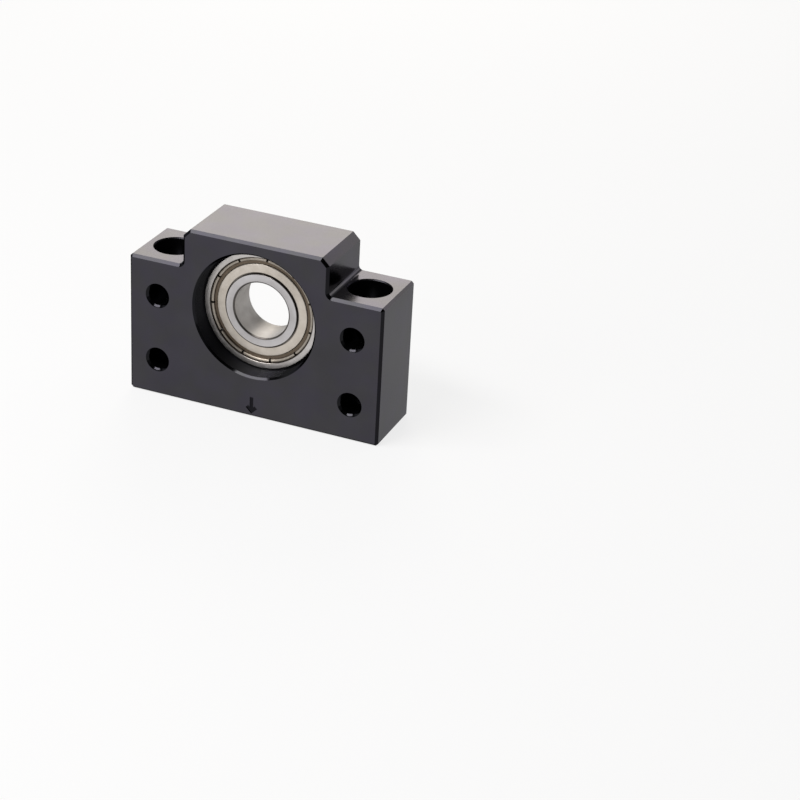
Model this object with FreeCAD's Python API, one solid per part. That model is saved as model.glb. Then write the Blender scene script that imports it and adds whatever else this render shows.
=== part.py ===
import FreeCAD, Part
import math
import os

# Support-side end unit for a ball screw: a shouldered steel block that carries a
# shielded deep-groove ball bearing, 15 mm journal, in a straight through bore.
# Units are millimetres. The origin is the middle of the base, +Z is up, X runs
# across the block and the bearing axis lies along Y. The front face looks to -Y.

V = FreeCAD.Vector
X_AXIS, Y_AXIS = V(1, 0, 0), V(0, 1, 0)

# Block
body_width = 70.0
body_depth = 20.0
body_height = 48.0
shoulder_height = 38.0
crown_width = 40.0
crown_corner_chamfer = 2.0
root_fillet = 1.2
face_edge_chamfer = 0.7
side_edge_chamfer = 0.6

# Bearing seat in the block, with a relief that opens it in front of the bearing
centre_height = 28.0
seat_clearance = 0.02
seat_mouth_chamfer = 0.5
relief_step = 0.6
relief_overlap = 1.0
bearing_recess = 4.5

# Screws down through the shoulders, with cap heads sunk in the top
screw_spacing = 54.0
base_screw_hole = 6.6
head_pocket = 11.0
head_pocket_depth = 6.5
head_pocket_chamfer = 0.3

# Screws through the face, two columns of two, in line with the base screws
face_screw_hole = 5.5
face_screw_chamfer = 0.6
lower_face_screw_height = 10.0
face_screw_pitch = 18.0

# Deep-groove ball bearing
bearing_bore = 15.0
bearing_outside = 32.0
bearing_width = 9.0
outer_corner_radius = 0.3
bore_corner_radius = 0.5
pitch_diameter = 23.5
ball_diameter = 4.762
ball_count = 9
race_conformity = 0.519
race_clearance = 0.02

# Inner ring shoulders
inner_land_diameter = 20.5
inner_notch_diameter = 19.7
inner_notch_depth = 1.1

# Outer ring shoulders and the groove that holds each shield
outer_land_diameter = 26.6
shield_mouth_diameter = 28.8
shield_groove_diameter = 29.5
shield_groove_width = 0.5
shield_seat_depth = 1.45

# Pressed shields
shield_thickness = 0.25
shield_bore_gap = 0.35
shield_face_depth = 0.45
shield_disc_width = 2.3
shield_step = 0.4
shield_curl_radius = 0.5
shield_curl_depth = 0.2
shield_play = 0.03
shield_slot_count = 11
shield_slot_width = 0.6
front_shield_turn = 5.2

# Pressed ribbon cage in two riveted halves
cage_thickness = 0.45
cage_width = 2.2
pocket_clearance = 0.08
rivet_diameter = 0.8
rivet_head_diameter = 1.5
rivet_head_height = 0.3
rivet_play = 0.01

# Worked out from the sizes above
front_y = -body_depth / 2
bearing_middle_y = front_y + bearing_recess + bearing_width / 2
half_width = bearing_width / 2
ball_radius = ball_diameter / 2
pitch_radius = pitch_diameter / 2
race_radius = race_conformity * ball_diameter


def outline(start, *steps):
    """Closed wire in the XY plane. A step is a point, or a pair of points for an arc."""
    edges = []
    here = V(*start, 0)
    for step in steps + (start,):
        if isinstance(step[0], tuple):
            through, end = V(*step[0], 0), V(*step[1], 0)
            edges.append(Part.Arc(here, through, end).toShape())
        else:
            end = V(*step, 0)
            if end.distanceToPoint(here) > 1e-7:
                edges.append(Part.LineSegment(here, end).toShape())
        here = end
    return Part.Wire(edges)


def corner_arc(centre, radius, start_deg, end_deg):
    """Middle and end point of an arc about a centre, as one step of an outline."""
    def on_arc(degrees):
        angle = math.radians(degrees)
        return (centre[0] + radius * math.cos(angle), centre[1] + radius * math.sin(angle))
    return (on_arc((start_deg + end_deg) / 2), on_arc(end_deg))


def turned(wire):
    """Solid of revolution about Y from a section drawn as radius along X, width along Y."""
    return Part.Face(wire).revolve(V(0, 0, 0), Y_AXIS, 360)


def in_block(shape):
    """Moves a piece drawn about the origin to the bearing's place in the block."""
    placed = shape.copy()
    placed.translate(V(0, bearing_middle_y, centre_height))
    return placed


def around(shape, count, index):
    """Copy of a shape drawn at the top of the bearing, turned to its place in the ring."""
    placed = shape.copy()
    placed.rotate(V(0, 0, 0), Y_AXIS, index * 360 / count)
    return placed


def drilled(diameter, chamfer, start, direction, length):
    """Tool for a through hole with a chamfered mouth at each end."""
    radius = diameter / 2
    end = start + direction * length
    hole = Part.makeCylinder(radius, length, start, direction)
    near = Part.makeCone(radius + chamfer, radius, chamfer, start, direction)
    far = Part.makeCone(radius + chamfer, radius, chamfer, end, direction * -1)
    return hole.fuse([near, far])


# Block, milled from bar

def block_outline():
    """Front outline: chamfered crown corners, filleted roots, edges broken at the sides."""
    half, crown = body_width / 2, crown_width / 2
    side, corner, fillet = side_edge_chamfer, crown_corner_chamfer, root_fillet
    right_root = corner_arc((crown + fillet, shoulder_height + fillet), fillet, 270, 180)
    left_root = corner_arc((-crown - fillet, shoulder_height + fillet), fillet, 0, -90)
    return outline(
        (-half + side, 0),
        (half - side, 0), (half, side),
        (half, shoulder_height - side), (half - side, shoulder_height),
        (crown + fillet, shoulder_height), right_root,
        (crown, body_height - corner), (crown - corner, body_height),
        (-crown + corner, body_height), (-crown, body_height - corner),
        (-crown, shoulder_height + fillet), left_root,
        (-half + side, shoulder_height), (-half, shoulder_height - side),
        (-half, side))


def block_blank():
    """The outline run through the depth, with its front and back edges chamfered."""
    wire = block_outline()
    wire.rotate(V(0, 0, 0), X_AXIS, 90)
    wire.translate(V(0, -front_y, 0))
    blank = Part.Face(wire).extrude(V(0, -body_depth, 0))
    rims = [edge for edge in blank.Edges
            if edge.BoundBox.YLength < 1e-6]
    return blank.makeChamfer(face_edge_chamfer, rims)


def base_screw_tool(x):
    """Clearance hole down to the base, with the pocket for a cap screw's head."""
    floor = shoulder_height - head_pocket_depth
    radius = head_pocket / 2
    hole = Part.makeCylinder(base_screw_hole / 2, floor, V(x, 0, 0))
    pocket = Part.makeCylinder(radius, head_pocket_depth, V(x, 0, floor))
    mouth = Part.makeCone(radius, radius + head_pocket_chamfer, head_pocket_chamfer,
                          V(x, 0, shoulder_height - head_pocket_chamfer))
    return hole.fuse([pocket, mouth])


def seat_tools():
    """The bore that the bearing slides in, and the wider relief at its front end."""
    start = V(0, front_y, centre_height)
    seat = drilled(bearing_outside + 2 * seat_clearance, seat_mouth_chamfer,
                   start, Y_AXIS, body_depth)
    radius = bearing_outside / 2 + seat_clearance + relief_step
    relief = Part.makeCylinder(radius, bearing_recess + relief_overlap, start, Y_AXIS)
    mouth = Part.makeCone(radius + seat_mouth_chamfer, radius, seat_mouth_chamfer,
                          start, Y_AXIS)
    return [seat, relief, mouth]


def housing():
    tools = seat_tools()
    for side in (-1, 1):
        x = side * screw_spacing / 2
        tools.append(base_screw_tool(x))
        for row in range(2):
            z = lower_face_screw_height + row * face_screw_pitch
            tools.append(drilled(face_screw_hole, face_screw_chamfer,
                                 V(x, front_y, z), Y_AXIS, body_depth))
    return block_blank().cut(tools)


# Bearing rings, turned and ground

def race(bottom_radius, land_radius, inward):
    """Half width of a ball groove at the land, for a groove that opens in or out."""
    centre = bottom_radius + inward * race_radius
    return math.sqrt(race_radius ** 2 - (land_radius - centre) ** 2)


def outer_ring():
    outside, land = bearing_outside / 2, outer_land_diameter / 2
    mouth, groove = shield_mouth_diameter / 2, shield_groove_diameter / 2
    seat = half_width - shield_seat_depth
    corner = outer_corner_radius
    bottom = pitch_radius + ball_radius + race_clearance
    reach = race(bottom, land, -1)
    return turned(outline(
        (outside, corner - half_width),
        (outside, half_width - corner),
        corner_arc((outside - corner, half_width - corner), corner, 0, 90),
        (mouth, half_width), (mouth, seat + shield_groove_width),
        (groove, seat + shield_groove_width), (groove, seat),
        (land, seat), (land, reach),
        ((bottom, 0), (land, -reach)),
        (land, -seat), (groove, -seat),
        (groove, -seat - shield_groove_width), (mouth, -seat - shield_groove_width),
        (mouth, -half_width), (outside - corner, -half_width),
        corner_arc((outside - corner, corner - half_width), corner, -90, 0)))


def inner_ring():
    bore, land = bearing_bore / 2, inner_land_diameter / 2
    notch = inner_notch_diameter / 2
    floor = half_width - inner_notch_depth
    corner = bore_corner_radius
    bottom = pitch_radius - ball_radius - race_clearance
    reach = race(bottom, land, 1)
    return turned(outline(
        (bore, half_width - corner),
        (bore, corner - half_width),
        corner_arc((bore + corner, corner - half_width), corner, 180, 270),
        (notch, -half_width), (notch, -floor), (land, -floor), (land, -reach),
        ((bottom, 0), (land, reach)),
        (land, floor), (notch, floor), (notch, half_width),
        (bore + corner, half_width),
        corner_arc((bore + corner, half_width - corner), corner, 90, 180)))


def ball():
    """One ball at the top of the ring."""
    return Part.makeSphere(ball_radius, V(0, 0, pitch_radius))


# Cage, two ribbons pressed round the balls and riveted between them

def cage_half(side):
    """Flat lands that meet on the ball plane, and a round pocket over each ball."""
    inside, outside = pitch_radius - cage_width / 2, pitch_radius + cage_width / 2
    pocket = ball_radius + pocket_clearance
    tall = pocket + cage_thickness
    band = Part.makeCylinder(outside, tall, V(0, 0, 0), Y_AXIS)
    band = band.cut(Part.makeCylinder(inside, tall, V(0, 0, 0), Y_AXIS))
    lands = Part.makeCylinder(outside, cage_thickness, V(0, 0, 0), Y_AXIS)
    shell = Part.makeSphere(tall, V(0, 0, pitch_radius))
    hollow = Part.makeSphere(pocket, V(0, 0, pitch_radius))
    ribbon = lands.fuse([around(shell, ball_count, i) for i in range(ball_count)])
    ribbon = ribbon.common(band)
    cuts = [around(hollow, ball_count, i) for i in range(ball_count)]
    hole = Part.makeCylinder(rivet_diameter / 2 + rivet_play, cage_thickness,
                             V(0, 0, pitch_radius), Y_AXIS)
    cuts += [around(hole, ball_count, i + 0.5) for i in range(ball_count)]
    half = ribbon.cut(cuts).removeSplitter()
    return half if side > 0 else half.mirror(V(0, 0, 0), Y_AXIS)


def rivet():
    """Shank through both lands with a cone head at each end, at the top of the ring."""
    shank, head = rivet_diameter / 2, rivet_head_diameter / 2
    height = rivet_head_height
    pin = Part.makeCylinder(shank, 2 * cage_thickness, V(0, -cage_thickness, 0), Y_AXIS)
    heads = [Part.makeCone(head, shank, height, V(0, end * cage_thickness, 0), Y_AXIS * end)
             for end in (-1, 1)]
    placed = pin.fuse(heads)
    placed.translate(V(0, 0, pitch_radius))
    return placed


def cage_rivets():
    return Part.makeCompound(
        [around(rivet(), ball_count, i + 0.5) for i in range(ball_count)])


# Shields, pressed from sheet, with a slotted curl sprung into the outer ring

def shield_section():
    """Sheet section: flat disc, a step down, and a curl that ends in the ring's groove."""
    inner = inner_notch_diameter / 2 + shield_bore_gap
    face = half_width - shield_face_depth
    floor = face - shield_step
    curl_top = half_width - shield_curl_depth
    curl_end = half_width - shield_seat_depth + shield_play
    lip = shield_groove_diameter / 2 - shield_play
    disc_end = inner + shield_disc_width
    curl_out = shield_mouth_diameter / 2 - shield_play
    curl_middle = curl_out - shield_curl_radius
    curl_in = curl_middle - shield_curl_radius
    crest = curl_top - shield_curl_radius
    sheet = shield_thickness
    flare = half_width - shield_seat_depth + shield_groove_width - 2 * shield_play
    return outline(
        (inner, face - sheet), (inner, face),
        (disc_end, face), (disc_end + shield_step / 2, floor),
        (curl_in, floor), (curl_in, crest),
        ((curl_middle, curl_top), (curl_out, crest)),
        (curl_out, flare), (lip, curl_end + sheet), (lip, curl_end),
        (curl_out - sheet, flare - sheet / 2), (curl_out - sheet, crest),
        ((curl_middle, curl_top - sheet), (curl_in + sheet, crest)),
        (curl_in + sheet, floor - sheet),
        (disc_end - sheet / 2 + shield_step / 2, floor - sheet),
        (disc_end - sheet / 2, face - sheet))


def shield(side):
    disc = turned(shield_section())
    slot_from = shield_mouth_diameter / 2 - 2 * shield_curl_radius - 2 * shield_play
    slot = Part.makeBox(shield_slot_width, half_width, pitch_radius)
    slot.translate(V(-shield_slot_width / 2, 0, slot_from))
    disc = disc.cut([around(slot, shield_slot_count, i)
                     for i in range(shield_slot_count)])
    if side > 0:
        return disc
    disc = disc.mirror(V(0, 0, 0), Y_AXIS)
    disc.rotate(V(0, 0, 0), Y_AXIS, front_shield_turn)
    return disc


def pieces():
    """Every piece by its node name, in place."""
    made = {"housing": housing(),
            "outer_ring": in_block(outer_ring()),
            "inner_ring": in_block(inner_ring()),
            "front_shield": in_block(shield(-1)),
            "rear_shield": in_block(shield(1)),
            "cage_front": in_block(cage_half(-1)),
            "cage_rear": in_block(cage_half(1)),
            "cage_rivets": in_block(cage_rivets())}
    for i in range(ball_count):
        made[f"ball_{i + 1}"] = in_block(around(ball(), ball_count, i))
    return made


os.makedirs("parts", exist_ok=True)
for name, shape in pieces().items():
    shape.exportStep(f"parts/{name}.step")
    print(name, "solids", len(shape.Solids), "valid", shape.isValid(),
          "volume", round(shape.Volume, 2))
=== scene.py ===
import math

import bmesh
import bpy
import numpy as np
from mathutils import Matrix, Vector


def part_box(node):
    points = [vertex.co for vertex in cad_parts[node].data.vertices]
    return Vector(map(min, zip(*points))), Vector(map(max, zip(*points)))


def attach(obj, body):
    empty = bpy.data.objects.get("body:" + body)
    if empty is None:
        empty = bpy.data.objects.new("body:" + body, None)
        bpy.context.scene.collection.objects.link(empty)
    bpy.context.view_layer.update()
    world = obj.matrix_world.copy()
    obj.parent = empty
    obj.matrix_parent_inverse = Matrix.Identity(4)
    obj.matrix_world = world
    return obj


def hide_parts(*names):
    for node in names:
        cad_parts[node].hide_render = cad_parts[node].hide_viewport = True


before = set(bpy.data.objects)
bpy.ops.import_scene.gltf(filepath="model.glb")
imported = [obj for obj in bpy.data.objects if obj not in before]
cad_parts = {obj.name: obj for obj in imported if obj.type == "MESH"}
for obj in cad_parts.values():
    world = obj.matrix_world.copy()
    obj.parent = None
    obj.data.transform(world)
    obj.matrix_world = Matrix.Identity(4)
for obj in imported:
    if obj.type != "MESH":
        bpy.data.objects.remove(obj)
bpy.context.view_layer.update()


# Block: the shouldered steel body that is screwed to the machine and carries the bearing. It is
# milled from bar and ground on its flat faces, its edges are chamfered and then broken by hand, and
# it is blacked all over. An arrow engraved low on the front points at the edge that it stands on.
MM = 0.001
block_low, block_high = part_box("housing")
front_face_y = block_low.y
shoulder_height = 38 * MM
crown_half = 20 * MM
bore_height = 28 * MM
seat_reach = 18 * MM
screw_aside = 27 * MM
pocket_reach = 5.7 * MM
chamfer_reach = 1.05 * MM
broken_edge = 0.13 * MM
broken_edge_segments = 3

arrow_top = 5.6 * MM
arrow_tip = 0.9 * MM
arrow_stroke = 1.0 * MM
arrow_half_width = 1.6 * MM
arrow_depth = 0.2 * MM

crease = math.radians(25)
same_corner = 0.002 * MM
same_plane = math.radians(0.3)
barely_tilted = 0.2
nearly_square = 0.96


def smooth(mesh):
    """Smooth shading that breaks where two faces meet at more than the crease angle."""
    mesh.shade_smooth()
    mesh.set_sharp_from_angle(angle=crease)


def placed(name, mesh):
    """An object at the origin for a finished mesh, shaded smooth."""
    piece = bpy.data.objects.new(name, mesh)
    bpy.context.scene.collection.objects.link(piece)
    smooth(mesh)
    return piece


def mesh_piece(name, corners, faces):
    """An object at the origin from an array of corners and a list of faces."""
    mesh = bpy.data.meshes.new(name)
    mesh.from_pydata(np.asarray(corners, float).tolist(), [], [list(face) for face in faces])
    mesh.update()
    return placed(name, mesh)


def merged_copy(node, name):
    """The node's own triangles with shared corners joined and flat areas made one face each."""
    mesh = bpy.data.meshes.new(name)
    shape = bmesh.new()
    shape.from_mesh(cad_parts[node].data)
    bmesh.ops.remove_doubles(shape, verts=shape.verts, dist=same_corner)
    bmesh.ops.dissolve_limit(shape, angle_limit=same_plane, verts=shape.verts, edges=shape.edges)
    shape.to_mesh(mesh)
    shape.free()
    return placed(name, mesh)


def arrow_outline():
    """Corners of a plain arrow that points down: a stem, and two barbs at 45 degrees. The barbs'
    inner edge is the outer edge moved up by the stroke times the square root of two."""
    stem = arrow_stroke / 2
    diagonal = arrow_stroke / math.sqrt(2)
    right = [(0, arrow_tip),
             (arrow_half_width, arrow_tip + arrow_half_width),
             (arrow_half_width - diagonal, arrow_tip + arrow_half_width + diagonal),
             (stem, arrow_tip + 2 * diagonal + stem),
             (stem, arrow_top)]
    left = [(-x, z) for x, z in reversed(right[1:])]
    return np.array(right + left)


def arrow_cutter():
    """A prism of the arrow's outline that crosses the front face, down to the arrow's depth."""
    outline = arrow_outline()
    count = len(outline)
    ends = [np.full(count, front_face_y + reach) for reach in (-arrow_depth, arrow_depth)]
    corners = np.concatenate([np.column_stack([outline[:, 0], y, outline[:, 1]]) for y in ends])
    near = np.arange(count)
    far = near + count
    walls = np.column_stack([near, far, np.roll(far, -1), np.roll(near, -1)])
    return mesh_piece("arrow_cutter", corners, [near.tolist(), far[::-1].tolist()] + walls.tolist())


def apply_modifiers(piece):
    """Puts the shape that the piece's modifiers give into its own mesh."""
    evaluated = piece.evaluated_get(bpy.context.evaluated_depsgraph_get())
    mesh = bpy.data.meshes.new_from_object(evaluated)
    piece.modifiers.clear()
    piece.data = mesh


def break_and_engrave(piece):
    """Rounds every sharp edge a little, then cuts the arrow into the front face."""
    edge_break = piece.modifiers.new("broken_edges", "BEVEL")
    edge_break.width = broken_edge
    edge_break.segments = broken_edge_segments
    edge_break.limit_method = "ANGLE"
    edge_break.angle_limit = crease
    engraving = piece.modifiers.new("arrow", "BOOLEAN")
    engraving.operation = "DIFFERENCE"
    engraving.solver = "EXACT"
    cutter = arrow_cutter()
    engraving.object = cutter
    apply_modifiers(piece)
    bpy.data.objects.remove(cutter)
    smooth(piece.data)
    even = piece.modifiers.new("even_normals", "WEIGHTED_NORMAL")
    even.keep_sharp = True
    apply_modifiers(piece)


def finish_of_faces(mesh):
    """Which finish a face has: 0 ground flat, 1 a chamfer, whose slope towards the front is neither
    flat nor square, or the arrow, 2 the bearing's seat, and 3 a screw hole or a head pocket with
    its rim. A face in a hole lies deeper than a chamfer inside the outline."""
    count = len(mesh.polygons)
    normal, centre = np.empty(3 * count), np.empty(3 * count)
    mesh.polygons.foreach_get("normal", normal)
    mesh.polygons.foreach_get("center", centre)
    forward, upward = np.abs(normal.reshape(-1, 3)[:, 1:]).T
    x, y, z = centre.reshape(-1, 3).T
    in_shoulders = np.minimum(block_high.x - np.abs(x), shoulder_height - z)
    in_crown = np.minimum(crown_half - np.abs(x), block_high.z - z)
    inset = np.minimum(np.maximum(in_shoulders, in_crown), z)
    below_faces = np.abs(y) < block_high.y - arrow_depth / 4
    near_front = y < front_face_y + 1.5 * arrow_depth
    sunk = (inset > chamfer_reach) & below_faces
    arrow = sunk & near_front & (z < arrow_top + arrow_depth)
    chamfer = (forward > barely_tilted) & (forward < nearly_square)
    rim = (np.hypot(np.abs(x) - screw_aside, y) < pocket_reach) & (upward < nearly_square)
    seat = sunk & (np.hypot(x, z - bore_height) < seat_reach)
    return np.select([arrow | (chamfer & ~rim), seat, sunk | rim], [1, 2, 3], 0)


# Nearly all the values of a noise lie between noise_low and noise_high.
noise_low = 0.3
noise_high = 0.7
quarter_turn = 0.25
tool_lines_per_metre = (90, 2600, 2600)
cast_offset = (0.3, 0.1, 0.7)
cast_start = 0.38
cast_full = 0.65
violet_share = (1.0, 0.95, 1.18)


class Finish:
    """A material under work: its shader, and short ways to add and join texture nodes."""

    def __init__(self, name):
        self.material = bpy.data.materials.new(name)
        self.material.use_nodes = True
        self.tree = self.material.node_tree
        self.shader = self.tree.nodes["Principled BSDF"]
        self.place = self.add("ShaderNodeTexCoord").outputs["Object"]

    def add(self, kind, **settings):
        """A node of the kind, with its settings."""
        node = self.tree.nodes.new(kind)
        for name, value in settings.items():
            setattr(node, name, value)
        return node

    def join(self, output, socket):
        """A link from an output to a socket."""
        self.tree.links.new(output, socket)

    def set(self, **values):
        """Plain numbers and colours, set on the shader's own sockets."""
        for name, value in values.items():
            socket = self.shader.inputs[name.replace("_", " ")]
            socket.default_value = (*value, 1.0) if isinstance(value, tuple) else value

    def feed(self, **outputs):
        """Outputs joined to the shader's sockets, where the surface changes from place to place."""
        for name, output in outputs.items():
            self.join(output, self.shader.inputs[name.replace("_", " ")])

    def stretched(self, place, scale, offset=(0, 0, 0)):
        """The place, moved by the offset and then scaled along each axis."""
        moved = self.add("ShaderNodeMapping")
        moved.inputs["Location"].default_value = [s * o for s, o in zip(scale, offset)]
        moved.inputs["Scale"].default_value = scale
        self.join(place, moved.inputs["Vector"])
        return moved.outputs["Vector"]

    def axes(self, place):
        """The three coordinates of a place."""
        node = self.add("ShaderNodeSeparateXYZ")
        self.join(place, node.inputs["Vector"])
        return node.outputs["X"], node.outputs["Y"], node.outputs["Z"]

    def noise(self, place, per_metre, detail=2.0):
        """A cloudy value from 0 to 1, with about so many blots to a metre."""
        node = self.add("ShaderNodeTexNoise")
        node.inputs["Scale"].default_value = per_metre
        node.inputs["Detail"].default_value = detail
        self.join(place, node.inputs["Vector"])
        return node.outputs["Fac"]

    def math(self, operation, first, second=0.0):
        """One step of arithmetic on outputs or plain numbers."""
        node = self.add("ShaderNodeMath", operation=operation)
        for socket, value in zip(node.inputs, (first, second)):
            if isinstance(value, (int, float)):
                socket.default_value = value
            else:
                self.join(value, socket)
        return node.outputs["Value"]

    def span(self, value, low, high, to_low, to_high):
        """The value carried from one range to another, held at the ends."""
        node = self.add("ShaderNodeMapRange")
        for socket, number in zip(("From Min", "From Max", "To Min", "To Max"),
                                  (low, high, to_low, to_high)):
            node.inputs[socket].default_value = number
        self.join(value, node.inputs["Value"])
        return node.outputs["Result"]

    def vary(self, noise, low, high):
        """A number that goes from low to high with a noise."""
        return self.span(noise, noise_low, noise_high, low, high)

    def uneven(self, noise, middle, below=0.03, above=0.04):
        """A number that wanders with a noise from below to above its middle value."""
        return self.vary(noise, middle - below, middle + above)

    def ramp(self, value, *stops):
        """A colour ramp of (position, colour) stops over the value."""
        node = self.add("ShaderNodeValToRGB")
        ramp = node.color_ramp
        while len(ramp.elements) < len(stops):
            ramp.elements.new(1.0)
        for element, (position, colour) in zip(ramp.elements, stops):
            element.position = position
            element.color = (*colour, 1.0)
        self.join(value, node.inputs["Fac"])
        return node.outputs["Color"]

    def shades(self, noise, dark, light):
        """A colour that goes from dark to light with a noise."""
        return self.ramp(noise, (noise_low, dark), (noise_high, light))

    def mix(self, share, first, second, blend="MIX"):
        """Two colours blended by a fixed share. The node's inputs 6 and 7 are its two colours, and
        its output 2 is the blended one."""
        node = self.add("ShaderNodeMix", data_type="RGBA", blend_type=blend)
        node.inputs[0].default_value = share
        self.join(first, node.inputs[6])
        self.join(second, node.inputs[7])
        return node.outputs[2]

    def bump(self, height, depth, strength=1.0, under=None):
        """A relief from a height, on top of the relief under it."""
        node = self.add("ShaderNodeBump")
        node.inputs["Strength"].default_value = strength
        node.inputs["Distance"].default_value = depth
        self.join(height, node.inputs["Height"])
        if under:
            self.join(under, node.inputs["Normal"])
        return node.outputs["Normal"]


def spun(finish, strength):
    """Stretches the shine across the tool lines of a turned or bored face, which run round the
    bearing's axis."""
    around = finish.add("ShaderNodeTangent", direction_type="RADIAL", axis="Y")
    finish.feed(Tangent=around.outputs["Tangent"])
    finish.set(Anisotropic=strength, Anisotropic_Rotation=quarter_turn)


def black_oxide(name, dark, light, roughness, edge_shine):
    """Steel under a thin black oxide: a dark, slightly cloudy shine with a violet cast in places,
    fine tool lines along the block and a fine grain. It gains less shine towards a grazing view
    than bare metal does, by the edge shine."""
    finish = Finish(name)
    cloud = finish.noise(finish.place, per_metre=110, detail=4.0)
    cast = finish.noise(finish.stretched(finish.place, (1, 1, 1), cast_offset), per_metre=160)
    grain = finish.noise(finish.place, per_metre=5200)
    lines = finish.noise(finish.stretched(finish.place, tool_lines_per_metre), per_metre=1)
    violet = tuple(level * share for level, share in zip(light, violet_share))
    hue = finish.ramp(cast, (cast_start, light), (cast_full, violet))
    tool_lines = finish.bump(lines, depth=0.0005 * MM)
    finish.feed(Base_Color=finish.mix(0.5, finish.shades(cloud, dark, light), hue),
                Roughness=finish.uneven(grain, roughness),
                Normal=finish.bump(grain, depth=0.0006 * MM, under=tool_lines))
    finish.set(Metallic=1.0, Specular_Tint=(edge_shine,) * 3)
    return finish


block = merged_copy("housing", "block")
break_and_engrave(block)
block.data.materials.clear()
# Painted shade: the chamfers, the bearing's seat and the holes have darker colours and less shine
# than the flat faces. On the chamfers this stands in for dark surroundings that they mirror, and in
# the seat and the holes it stands in for the shade that falls in them. The engraved arrow takes the
# chamfers' dark finish.
ground = black_oxide("black_oxide_ground", (0.045, 0.0435, 0.048), (0.056, 0.0545, 0.060),
                     roughness=0.2, edge_shine=0.73)
chamfered = black_oxide("black_oxide_chamfer_painted_dark", (0.011, 0.011, 0.012), (0.014, 0.014, 0.015),
                        roughness=0.12, edge_shine=0.4)
bored = black_oxide("black_oxide_seat_painted_shade", (0.022, 0.022, 0.023), (0.028, 0.028, 0.030),
                    roughness=0.6, edge_shine=0.3)
holes_painted_shade = black_oxide("black_oxide_drilled", (0.021, 0.021, 0.022), (0.026, 0.026, 0.028),
                      roughness=0.36, edge_shine=0.3)
spun(bored, strength=0.9)
for finish in (ground, chamfered, bored, holes_painted_shade):
    block.data.materials.append(finish.material)
block.data.polygons.foreach_set("material_index", finish_of_faces(block.data).astype(np.int32))
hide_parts("housing")
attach(block, "block")


# Outer ring: the part of the ball bearing that sits in the block's bore. It is turned from bearing
# steel and ground, with rounded corners, a groove for the balls and a small groove in each side for
# a shield. It slides in the bore, because this end of the screw floats.
ring_low, ring_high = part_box("outer_ring")
bearing_y = (ring_low.y + ring_high.y) / 2
bearing_z = (ring_low.z + ring_high.z) / 2
outer_radius = (ring_high.z - ring_low.z) / 2
half_width = (ring_high.y - ring_low.y) / 2
ring_corner = 0.3 * MM
pitch_radius = 11.75 * MM
ball_radius = 2.381 * MM
groove_to_ball = 1.038
race_radius = groove_to_ball * ball_radius
race_gap = 0.02 * MM
outer_land = 13.3 * MM
shield_mouth = 14.4 * MM
shield_groove = 14.75 * MM
shield_seat = half_width - 1.45 * MM
shield_groove_width = 0.5 * MM
mouth_edge = 0.08 * MM
turn_steps = 192
race_steps = 24
edge_fade = 0.15 * MM
bore_fade = 0.1 * MM
white = (1.0, 1.0, 1.0)


def bend(centre, radius, start, end, steps=8):
    """Points of a circle's arc about a centre, from one angle to another in degrees."""
    angle = np.radians(np.linspace(start, end, steps + 1))
    return np.column_stack([centre[0] + radius * np.cos(angle), centre[1] + radius * np.sin(angle)])


def about_axis(radius, along, angle):
    """Points at a radius and an angle from the top round the bearing's axis, clockwise from the
    front: x is the radius times the sine, z the radius times the cosine, y the place along."""
    return np.stack([radius * np.sin(angle), bearing_y + along + 0 * angle,
                     bearing_z + radius * np.cos(angle)], axis=-1)


def quads(*corners):
    """Four-sided faces from four equal grids of corner numbers, taken in turn round each face."""
    return np.stack([np.ravel(grid) for grid in corners], axis=-1)


def turned(name, section):
    """A closed section of (radius, place along the axis) points carried once round the axis."""
    angle = np.linspace(0, 2 * np.pi, turn_steps, endpoint=False)
    corners = about_axis(section[:, :1], section[:, 1:], angle[None, :]).reshape(-1, 3)
    here = np.arange(len(corners)).reshape(-1, turn_steps)
    round_on = np.roll(here, -1, axis=1)
    faces = quads(here, round_on, np.roll(round_on, -1, axis=0), np.roll(here, -1, axis=0))
    return mesh_piece(name, corners, faces.tolist())


def race_arc(bottom, land, side):
    """The arc of a ball groove, from its rear edge to its front edge. Its centre is one radius from
    the bottom, away from the axis where the side is 1 and towards it where it is -1. It ends at the
    land, so the cosine of half its angle is the land's distance from the centre over the radius."""
    centre = bottom + side * race_radius
    swing = side * math.degrees(math.acos(abs(land - centre) / race_radius))
    middle = 0 if side < 0 else 180
    return bend((centre, 0), race_radius, middle - swing, middle + swing, race_steps)


def outer_ring_section():
    """From the front corner of the outside, over the rear face and back along the inside."""
    corner = outer_radius - ring_corner
    flat = half_width - ring_corner
    rear_face = [(shield_mouth + mouth_edge, half_width), (shield_mouth, half_width - mouth_edge),
                 (shield_mouth, shield_seat + shield_groove_width),
                 (shield_groove, shield_seat + shield_groove_width), (shield_groove, shield_seat),
                 (outer_land, shield_seat)]
    front_face = [(r, -y) for r, y in reversed(rear_face)]
    return np.concatenate([bend((corner, -flat), ring_corner, -90, 0),
                           bend((corner, flat), ring_corner, 0, 90), rear_face,
                           race_arc(pitch_radius + ball_radius + race_gap, outer_land, -1),
                           front_face])


def from_axis(finish):
    """How far a place is from the bearing's axis and along it, as two values in a material."""
    centred = finish.stretched(finish.place, (1, 1, 1), (0, -bearing_y, -bearing_z))
    x, y, z = finish.axes(centred)
    square = finish.math("ADD", finish.math("MULTIPLY", x, x), finish.math("MULTIPLY", z, z))
    return finish.math("SQRT", square), y


def by_radius(finish, radius, stops):
    """A colour that changes with the distance from the axis, from (radius, colour) stops."""
    first, last = stops[0][0], stops[-1][0]
    along = finish.span(radius, first, last, 0, 1)
    return finish.ramp(along, *[((place - first) / (last - first), colour)
                                for place, colour in stops])


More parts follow.
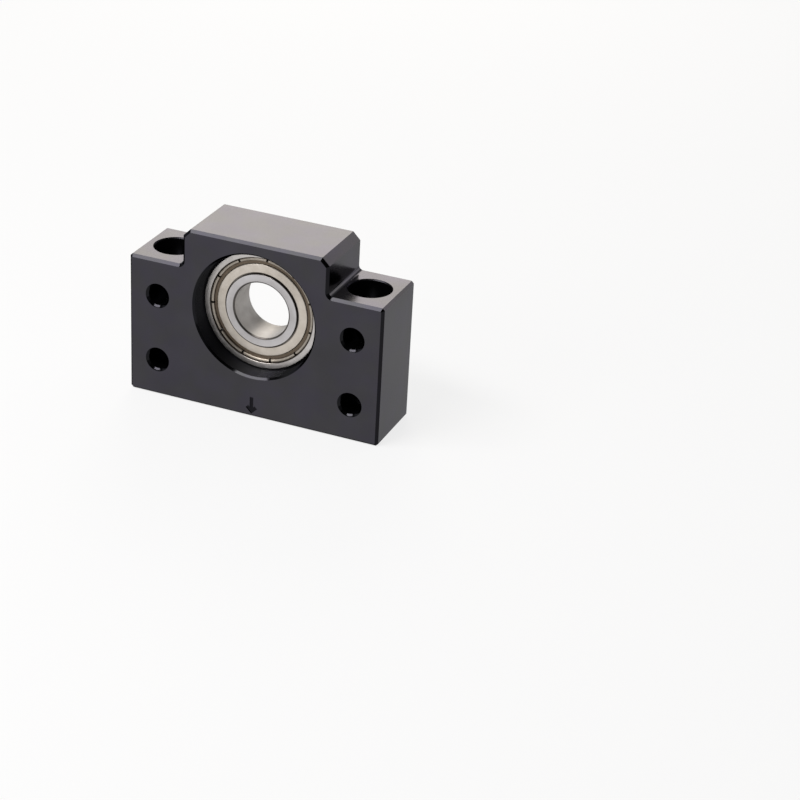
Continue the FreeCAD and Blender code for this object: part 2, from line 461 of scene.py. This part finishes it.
def turning_lines(finish, value, per_metre):
    """Fine lines across the way in which the value grows: a noise in one dimension."""
    lines = finish.add("ShaderNodeTexNoise", noise_dimensions="1D")
    lines.inputs["Scale"].default_value = per_metre
    finish.join(value, lines.inputs["W"])
    return lines.outputs["Fac"]


def oiled(finish, colour, cloud, tint):
    """The colour, multiplied by the tint of a thin oil film where a cloud is dark."""
    return finish.mix(1.0, colour, finish.shades(cloud, tint, white), blend="MULTIPLY")


def ground_steel(name, roughness, bore_roughness, stops):
    """Ground bearing steel: its colour by radius, with painted shade where the stops are dark,
    darkened in places by a thin oil film, with fine lines round the axis and a little cloudiness in
    the shine, which is duller in the bore."""
    finish = Finish(name)
    radius, along = from_axis(finish)
    bore = stops[0][0]
    lines = turning_lines(finish, finish.math("ADD", radius, along), per_metre=5200)
    cloud = finish.noise(finish.place, per_metre=260, detail=3.0)
    smudge = finish.noise(finish.place, per_metre=700)
    shine = finish.math("ADD", finish.uneven(smudge, roughness), finish.vary(lines, -0.01, 0.02))
    duller = finish.span(radius, bore, bore + bore_fade, bore_roughness - roughness, 0)
    colours_with_painted_shade = by_radius(finish, radius, stops)
    finish.feed(Base_Color=oiled(finish, colours_with_painted_shade, cloud, tint=(0.84, 0.83, 0.82)),
                Roughness=finish.math("ADD", shine, duller),
                Normal=finish.bump(lines, depth=0.0002 * MM))
    spun(finish, strength=0.6)
    finish.set(Metallic=1.0)
    return finish.material


outer_ring = turned("bearing_outer_ring", outer_ring_section())
# Its colour by radius holds painted shade: a dark line at the shield's mouth, where the shield
# meets the ring. It is also a little darker over the outer corner.
outer_ring_steel = ground_steel(
    "outer_ring_steel", roughness=0.31, bore_roughness=0.4,
    stops=[(outer_land, (0.5, 0.49, 0.48)),
           (shield_mouth, (0.2, 0.18, 0.165)),
           (shield_mouth + edge_fade, (0.6, 0.575, 0.56)),
           (outer_radius - ring_corner, (0.66, 0.635, 0.62)),
           (outer_radius, (0.5, 0.485, 0.475))])
outer_ring.data.materials.append(outer_ring_steel)
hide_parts("outer_ring")
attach(outer_ring, "bearing")


# Inner ring: the part of the bearing that turns with the screw's journal. It is turned and ground
# like the outer ring, with a groove for the balls outside and a small step on each side, under the
# shield.
inner_low, inner_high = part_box("inner_ring")
bore_radius = 7.5 * MM
bore_corner = 0.5 * MM
corner_shade_start = 0.04 * MM
corner_shade_end = 0.38 * MM
inner_land = (inner_high.z - inner_low.z) / 2
inner_notch = 9.85 * MM
notch_floor = half_width - 1.1 * MM
notch_edge = 0.1 * MM


def inner_ring_section():
    """From the rear corner of the bore to the front one, up the front face, over the outside and
    down the rear face."""
    corner = bore_radius + bore_corner
    flat = half_width - bore_corner
    front_side = [(inner_notch - notch_edge, -half_width), (inner_notch, notch_edge - half_width),
                  (inner_notch, -notch_floor), (inner_land, -notch_floor)]
    rear_side = [(r, -y) for r, y in reversed(front_side)]
    groove = race_arc(pitch_radius - ball_radius - race_gap, inner_land, 1)[::-1]
    return np.concatenate([bend((corner, flat), bore_corner, 90, 180),
                           bend((corner, -flat), bore_corner, 180, 270),
                           front_side, groove, rear_side])


inner_ring = turned("bearing_inner_ring", inner_ring_section())
# Its colour by radius holds painted shade: dark in the bore's rounded corner, and dark at the step
# under the shield's edge, by the gap between shield and ring.
inner_ring_steel = ground_steel(
    "inner_ring_steel", roughness=0.34, bore_roughness=0.6,
    stops=[(bore_radius, (0.56, 0.54, 0.52)),
           (bore_radius + corner_shade_start, (0.15, 0.14, 0.13)),
           (bore_radius + corner_shade_end, (0.08, 0.073, 0.068)),
           (bore_radius + bore_corner, (0.5, 0.485, 0.49)),
           (inner_notch - edge_fade, (0.575, 0.56, 0.565)),
           (inner_notch, (0.2, 0.18, 0.16)),
           (inner_land, (0.3, 0.28, 0.26))])
inner_ring.data.materials.append(inner_ring_steel)
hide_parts("inner_ring")
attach(inner_ring, "inner_ring")


# Balls: nine hardened steel balls between the rings, ground and lapped to a mirror. They are held
# apart by the cage and can't be seen behind the shields.
ball_count = 9
ball_steps = 48


def ball(name, angle):
    """A sphere from two angles, up the ball and round it: x and y are the cosine of the first times
    the cosine and the sine of the second, and z is the sine of the first. A fan of triangles closes
    each pole."""
    lift = np.linspace(-np.pi / 2, np.pi / 2, ball_steps // 2 + 1)[1:-1, None]
    turn = np.linspace(0, 2 * np.pi, ball_steps, endpoint=False)[None, :]
    rings = np.stack([np.cos(lift) * np.cos(turn), np.cos(lift) * np.sin(turn),
                      np.sin(lift) + 0 * turn], axis=-1).reshape(-1, 3)
    south, north = len(rings), len(rings) + 1
    unit = np.concatenate([rings, [[0, 0, -1], [0, 0, 1]]])
    here = np.arange(len(rings)).reshape(-1, ball_steps)
    round_on = np.roll(here, -1, axis=1)
    sides = quads(here[:-1], round_on[:-1], round_on[1:], here[1:])
    low_cap = np.column_stack([np.full(ball_steps, south), round_on[0], here[0]])
    high_cap = np.column_stack([np.full(ball_steps, north), here[-1], round_on[-1]])
    middle = about_axis(pitch_radius, 0, angle)
    return mesh_piece(name, middle + ball_radius * unit,
                      sides.tolist() + low_cap.tolist() + high_cap.tolist())


def lapped_steel():
    """Lapped ball steel: a mirror with a trace of cloud in its shine."""
    finish = Finish("ball_steel")
    cloud = finish.noise(finish.place, per_metre=700)
    finish.feed(Base_Color=finish.shades(cloud, (0.62, 0.62, 0.63), (0.72, 0.72, 0.73)),
                Roughness=finish.vary(cloud, 0.05, 0.1))
    finish.set(Metallic=1.0)
    return finish.material


ball_finish = lapped_steel()
for number in range(ball_count):
    steel_ball = ball(f"bearing_ball_{number + 1}", 2 * math.pi * number / ball_count)
    steel_ball.data.materials.append(ball_finish)
    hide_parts(f"ball_{number + 1}")
    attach(steel_ball, f"ball_{number + 1}")


# Cage: two ribbons pressed from steel strip, with a pocket for each ball, held together between the
# balls by nine small rivets. It goes round with the balls, behind the shields.
strip_dark_share = 0.8


def pressed_strip(name, colour, roughness):
    """Pressed strip: a dull grey with the scuffs of the press tool."""
    finish = Finish(name)
    cloud = finish.noise(finish.place, per_metre=500, detail=4.0)
    scuff = finish.noise(finish.place, per_metre=2400, detail=3.0)
    dark = tuple(strip_dark_share * level for level in colour)
    finish.feed(Base_Color=finish.shades(cloud, dark, colour),
                Roughness=finish.uneven(scuff, roughness, below=0.06, above=0.08),
                Normal=finish.bump(scuff, depth=0.002 * MM, strength=0.5))
    finish.set(Metallic=1.0)
    return finish.material


cage_finish = pressed_strip("cage_strip_steel", (0.5, 0.49, 0.47), roughness=0.36)
rivet_finish = pressed_strip("rivet_steel", (0.55, 0.54, 0.52), roughness=0.3)
for node, name, material, slot in (("cage_front", "cage_front_half", cage_finish, "cage_steel"),
                                   ("cage_rear", "cage_rear_half", cage_finish, "cage_steel"),
                                   ("cage_rivets", "cage_rivet_set", rivet_finish, "rivet_steel")):
    strip = merged_copy(node, name)
    strip.data.materials.clear()
    strip.data.materials.append(material)
    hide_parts(node)
    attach(strip, "cage")


# Shields: a pressed steel disc in each side of the bearing, which keeps the grease in. The disc
# steps down to a groove, and its rim is curled over and slotted so that it springs into the small
# groove of the outer ring. It stays just clear of the inner ring.
sheet = 0.25 * MM
shield_inner = inner_notch + 0.35 * MM
disc_face = half_width - 0.45 * MM
disc_edge = shield_inner + 2.3 * MM
disc_step = 0.4 * MM
shield_play = 0.03 * MM
curl_radius = 0.5 * MM
curl_top = half_width - 0.2 * MM
curl_bend = curl_radius - sheet / 2
curl_centre = shield_mouth - shield_play - curl_radius
curl_in = curl_centre - curl_bend
curl_out = curl_centre + curl_bend
curl_steps = 10
bend_radius = 0.16 * MM
lip_bend_radius = 0.6 * bend_radius
bend_steps = 4
slot_count = 11
slot_width = 0.6 * MM
slot_root = 1.2 * sheet
columns_between_slots = 16
front_turn = math.radians(5.2)
step_fade = 0.05 * MM


def rounded_path(points, radius):
    """A path with each corner between its ends rounded: the arc starts before the corner by the
    radius times the tangent of half the turn, and its points are those of a circle."""
    points = np.asarray(points, float)
    made = [points[:1]]
    for before, corner, after in zip(points[:-2], points[1:-1], points[2:]):
        along = (corner - before) / np.linalg.norm(corner - before)
        onward = (after - corner) / np.linalg.norm(after - corner)
        turn = math.acos(np.clip(along @ onward, -1, 1))
        arc_start = corner - along * radius * math.tan(turn / 2)
        side = np.sign(along[0] * onward[1] - along[1] * onward[0])
        centre = arc_start + side * radius * np.array([-along[1], along[0]])
        start = math.atan2(*(arc_start - centre)[::-1])
        angle = start + side * np.linspace(0, turn, bend_steps + 1)
        made.append(centre + radius * np.column_stack([np.cos(angle), np.sin(angle)]))
    made.append(points[-1:])
    return np.concatenate(made)


def shield_path():
    """Middle of the sheet, from the inner edge out: disc, step, groove, curl and lip."""
    middle = disc_face - sheet / 2
    groove_floor = middle - disc_step
    crest = curl_top - curl_radius
    seat = shield_seat + shield_play
    flat = [(shield_inner, middle), (disc_edge - sheet / 2, middle),
            (disc_edge + disc_step / 2 - sheet / 2, groove_floor), (curl_in, groove_floor),
            (curl_in, crest)]
    over = bend((curl_centre, crest), curl_bend, 180, 0, curl_steps)
    lip = [(curl_out, crest), (curl_out, seat + shield_groove_width - 3 * shield_play - sheet / 2),
           (shield_groove - shield_play, seat + sheet / 2)]
    return np.concatenate([rounded_path(flat, bend_radius)[:-1], over[:-1],
                           rounded_path(lip, lip_bend_radius)])


def sheet_sides(path):
    """The path moved half the sheet to each side, along the normal between its neighbours."""
    along = np.gradient(path, axis=0)
    along /= np.linalg.norm(along, axis=1, keepdims=True)
    normal = np.column_stack([-along[:, 1], along[:, 0]])
    return path + normal * sheet / 2, path - normal * sheet / 2


def slot_columns(turn):
    """Angles of the columns round a shield, and which of the columns are slots. A slot is one
    column wide, and even columns fill the space between it and the next slot."""
    slot_angle = slot_width / (curl_centre + sheet / 2)
    pitch = 2 * math.pi / slot_count
    between = np.linspace(slot_angle / 2, pitch - slot_angle / 2, columns_between_slots,
                          endpoint=False)
    columns = np.concatenate([[-slot_angle / 2], between])
    angle = (np.arange(slot_count)[:, None] * pitch + columns[None, :]).ravel() + turn
    return angle, np.tile(np.arange(len(columns)) == 0, slot_count)


def shield(name, side, turn):
    """The sheet's two sides carried round the axis. The slots are left out from the groove
    outwards, and every cut edge is closed across the sheet. A corner's number stands at its side of
    the sheet, its point of the path and its angle."""
    path = shield_path()
    angle, in_slot = slot_columns(turn)
    corners = [about_axis(face[:, :1], side * face[:, 1:], angle[None, :]).reshape(-1, 3)
               for face in sheet_sides(path)]
    out, back = np.arange(2 * len(path) * len(angle)).reshape(2, len(path), len(angle))
    out_on, back_on = np.roll(out, -1, axis=1), np.roll(back, -1, axis=1)
    at_curl = (path[:, 0] > curl_in - slot_root) & (path[:, 1] < disc_face - disc_step)
    cut = int(np.argmax(at_curl))
    kept = ((np.arange(len(path) - 1)[:, None] < cut) | ~in_slot[None, :]).ravel()
    faces = [quads(out[:-1], out_on[:-1], out_on[1:], out[1:])[kept],
             quads(back[:-1], back[1:], back_on[1:], back_on[:-1])[kept],
             quads(out[0], back[0], back_on[0], out_on[0]),
             quads(out[-1], out_on[-1], back_on[-1], back[-1])[~in_slot],
             quads(out[cut], out_on[cut], back_on[cut], back[cut])[in_slot]]
    start, start_back = out[cut:, in_slot], back[cut:, in_slot]
    end, end_back = out_on[cut:, in_slot], back_on[cut:, in_slot]
    faces += [quads(start[:-1], start_back[:-1], start_back[1:], start[1:]),
              quads(end[1:], end_back[1:], end_back[:-1], end[:-1])]
    faces = np.concatenate(faces)
    # The rear shield mirrors the front one, so its faces are taken the other way round.
    if side > 0:
        faces = faces[:, ::-1]
    return mesh_piece(name, np.concatenate(corners), faces.tolist())


def shield_steel():
    """Pressed sheet with a dull, slightly warm plating: flow marks round the axis, light scuffs,
    painted brown shade down in the groove and at the inner and outer edges, and a rim that the
    press has rubbed dull."""
    finish = Finish("shield_plated_steel")
    radius = from_axis(finish)[0]
    groove_start = disc_edge + disc_step / 2
    rim_start = shield_mouth - 2 * curl_radius
    disc_colour = (0.66, 0.605, 0.54)
    rim_colour = (0.4, 0.36, 0.31)
    cloud = finish.noise(finish.place, per_metre=420, detail=3.0)
    scuff = finish.noise(finish.place, per_metre=2400)
    flow_marks = turning_lines(finish, radius, per_metre=2600)
    # Painted shade: dark at the inner edge by the gap to the inner ring, brown down in the groove,
    # and dark at the mouth where the shield meets the ring.
    colours_with_painted_shade = by_radius(finish, radius, [(shield_inner, (0.12, 0.1, 0.085)),
                                       (shield_inner + edge_fade, disc_colour),
                                       (disc_edge - step_fade, disc_colour),
                                       (groove_start, (0.17, 0.135, 0.1)),
                                       (rim_start, (0.14, 0.11, 0.085)),
                                       (rim_start + edge_fade, rim_colour),
                                       (shield_mouth - edge_fade, rim_colour),
                                       (shield_mouth, (0.16, 0.13, 0.11))])
    finish.feed(Base_Color=oiled(finish, colours_with_painted_shade, cloud, tint=(0.86, 0.85, 0.83)),
                Roughness=finish.vary(scuff, 0.36, 0.46),
                Normal=finish.bump(flow_marks, depth=0.0006 * MM))
    spun(finish, strength=0.65)
    finish.set(Metallic=1.0)
    return finish.material


shield_finish = shield_steel()
for node, side, turn in (("front_shield", -1, front_turn), ("rear_shield", 1, 0.0)):
    pressing = shield(f"bearing_{node}", side, turn)
    pressing.data.materials.append(shield_finish)
    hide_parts(node)
    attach(pressing, "bearing")


# Floor: a plain pale studio floor that keeps the object's soft shadow. What the camera and the
# mirroring metal see of it is raised towards white, and its light on dull surfaces stays as it is.
floor_half = 6.0
floor_drop = 0.02 * MM
floor_whiteness = 0.8
floor_corners = [(x * floor_half, y * floor_half, -floor_drop)
                 for x, y in ((-1, -1), (1, -1), (1, 1), (-1, 1))]
floor = mesh_piece("studio_floor", floor_corners, [(0, 1, 2, 3)])
floor_finish = Finish("studio_floor_white")
floor_finish.set(Base_Color=(0.86, 0.86, 0.86), Roughness=0.9)
rays = floor_finish.add("ShaderNodeLightPath").outputs
seen = floor_finish.math("MAXIMUM", rays["Is Camera Ray"], rays["Is Glossy Ray"])
seen = floor_finish.math("MAXIMUM", seen, rays["Is Transmission Ray"])
glow = floor_finish.add("ShaderNodeEmission")
blend = floor_finish.add("ShaderNodeMixShader")
floor_finish.join(floor_finish.math("MULTIPLY", seen, floor_whiteness), blend.inputs[0])
floor_finish.join(floor_finish.shader.outputs[0], blend.inputs[1])
floor_finish.join(glow.outputs[0], blend.inputs[2])
floor_finish.join(blend.outputs[0], floor_finish.tree.nodes["Material Output"].inputs["Surface"])
floor.data.materials.append(floor_finish.material)


# Studio: pale walls that fade to a dark ceiling, and a darker side in front, to the right. The flat
# black faces mirror these parts of the room, which gives each face its own grey.
wall_top = math.sin(math.radians(23))
ceiling_edge = math.sin(math.radians(33))
ceiling_level = 0.2
overhead = (0, 0, 1)
dark_side = (0.75, -0.66, 0)
dark_side_full = 0.6
dark_side_level = 0.25
wall_colour = (0.97, 0.98, 1.0, 1)
world = bpy.data.worlds.new("studio")
bpy.context.scene.world = world
world.use_nodes = True
room = world.node_tree
looking = room.nodes.new("ShaderNodeTexCoord").outputs["Generated"]


def fading(towards, start, end, least):
    """A brightness that goes from 1 down to the least, as the look's dot product with a direction
    goes from start to end."""
    reach = room.nodes.new("ShaderNodeVectorMath")
    reach.operation = "DOT_PRODUCT"
    reach.inputs[1].default_value = towards
    fade = room.nodes.new("ShaderNodeMapRange")
    for socket, number in zip(("From Min", "From Max", "To Min", "To Max"),
                              (start, end, 1.0, least)):
        fade.inputs[socket].default_value = number
    room.links.new(looking, reach.inputs[0])
    room.links.new(reach.outputs["Value"], fade.inputs["Value"])
    return fade.outputs["Result"]


brightness = room.nodes.new("ShaderNodeMath")
brightness.operation = "MULTIPLY"
room.links.new(fading(overhead, wall_top, ceiling_edge, ceiling_level), brightness.inputs[0])
room.links.new(fading(dark_side, 0.0, dark_side_full, dark_side_level), brightness.inputs[1])
room.links.new(brightness.outputs["Value"], room.nodes["Background"].inputs["Strength"])
room.nodes["Background"].inputs["Color"].default_value = wall_colour


# Lamps: two warm soft boxes behind, for the top faces and the crown's sloped corner to mirror, a
# strip high in front, which gives the chamfers their line, and a box in front for the bearing.
object_middle = Vector((0, 0, (block_low.z + block_high.z) / 2))
lamp_distance = 0.6


def soft_box(name, towards, width, height, brightness, colour, turn=0):
    """A rectangular lamp that faces the object, turned about its middle by so many degrees, with
    its surface as bright as stated."""
    lamp = bpy.data.lights.new(name, "AREA")
    lamp.shape = "RECTANGLE"
    lamp.size, lamp.size_y = width, height
    lamp.energy = brightness * math.pi * width * height
    lamp.color = colour
    direction = Vector(towards).normalized()
    holder = bpy.data.objects.new(name, lamp)
    holder.matrix_world = (Matrix.Translation(object_middle + direction * lamp_distance)
                           @ direction.to_track_quat("Z", "Y").to_matrix().to_4x4()
                           @ Matrix.Rotation(math.radians(turn), 4, "Z"))
    bpy.context.scene.collection.objects.link(holder)


soft_box("rear_soft_box", (-0.32, 0.829, 0.458), width=0.3, height=0.26,
         brightness=4.5, colour=(1.0, 0.94, 0.84))
soft_box("rear_right_soft_box", (0.454, 0.83, 0.32), width=0.2, height=0.2,
         brightness=0.8, colour=(1.0, 0.9, 0.8))
soft_box("high_strip_light", (-0.355, -0.445, 0.825), width=0.44, height=0.13,
         brightness=14.0, colour=(1.0, 0.98, 0.97), turn=22)
soft_box("front_soft_box", (-0.42, -0.79, 0.45), width=0.2, height=0.2,
         brightness=4.0, colour=(1.0, 0.98, 0.97))


# Camera: stands in front of the block, to its right and above it, turned a little clockwise, as in
# the photograph. Its angles and distance were fitted to the block's corners and holes.
view_azimuth = math.radians(21.098)
view_elevation = math.radians(27.253)
view_roll = math.radians(3.212)
view_distance = 572.3 * MM
view_aside = 34.231 * MM
view_up = 0.221 * MM
focal_pixels = 2206.0
image_pixels = 800
sensor_mm = 36.0
nearest_view = 10 * MM

back = Vector((math.sin(view_azimuth) * math.cos(view_elevation),
               -math.cos(view_azimuth) * math.cos(view_elevation), math.sin(view_elevation)))
level = Vector((math.cos(view_azimuth), math.sin(view_azimuth), 0))
upright = back.cross(level)
right = level * math.cos(view_roll) + upright * math.sin(view_roll)
up = -level * math.sin(view_roll) + upright * math.cos(view_roll)
camera_data = bpy.data.cameras.new("camera")
camera_data.sensor_width = sensor_mm
camera_data.lens = focal_pixels / image_pixels * sensor_mm
camera_data.clip_start = nearest_view
camera = bpy.data.objects.new("camera", camera_data)
bpy.context.scene.collection.objects.link(camera)
place = right * view_aside + up * view_up + back * view_distance
camera.matrix_world = Matrix.Translation(place) @ Matrix((right, up, back)).transposed().to_4x4()
bpy.context.scene.camera = camera


# Output: colours are shown as they are written.
bpy.context.scene.view_settings.view_transform = "Standard"
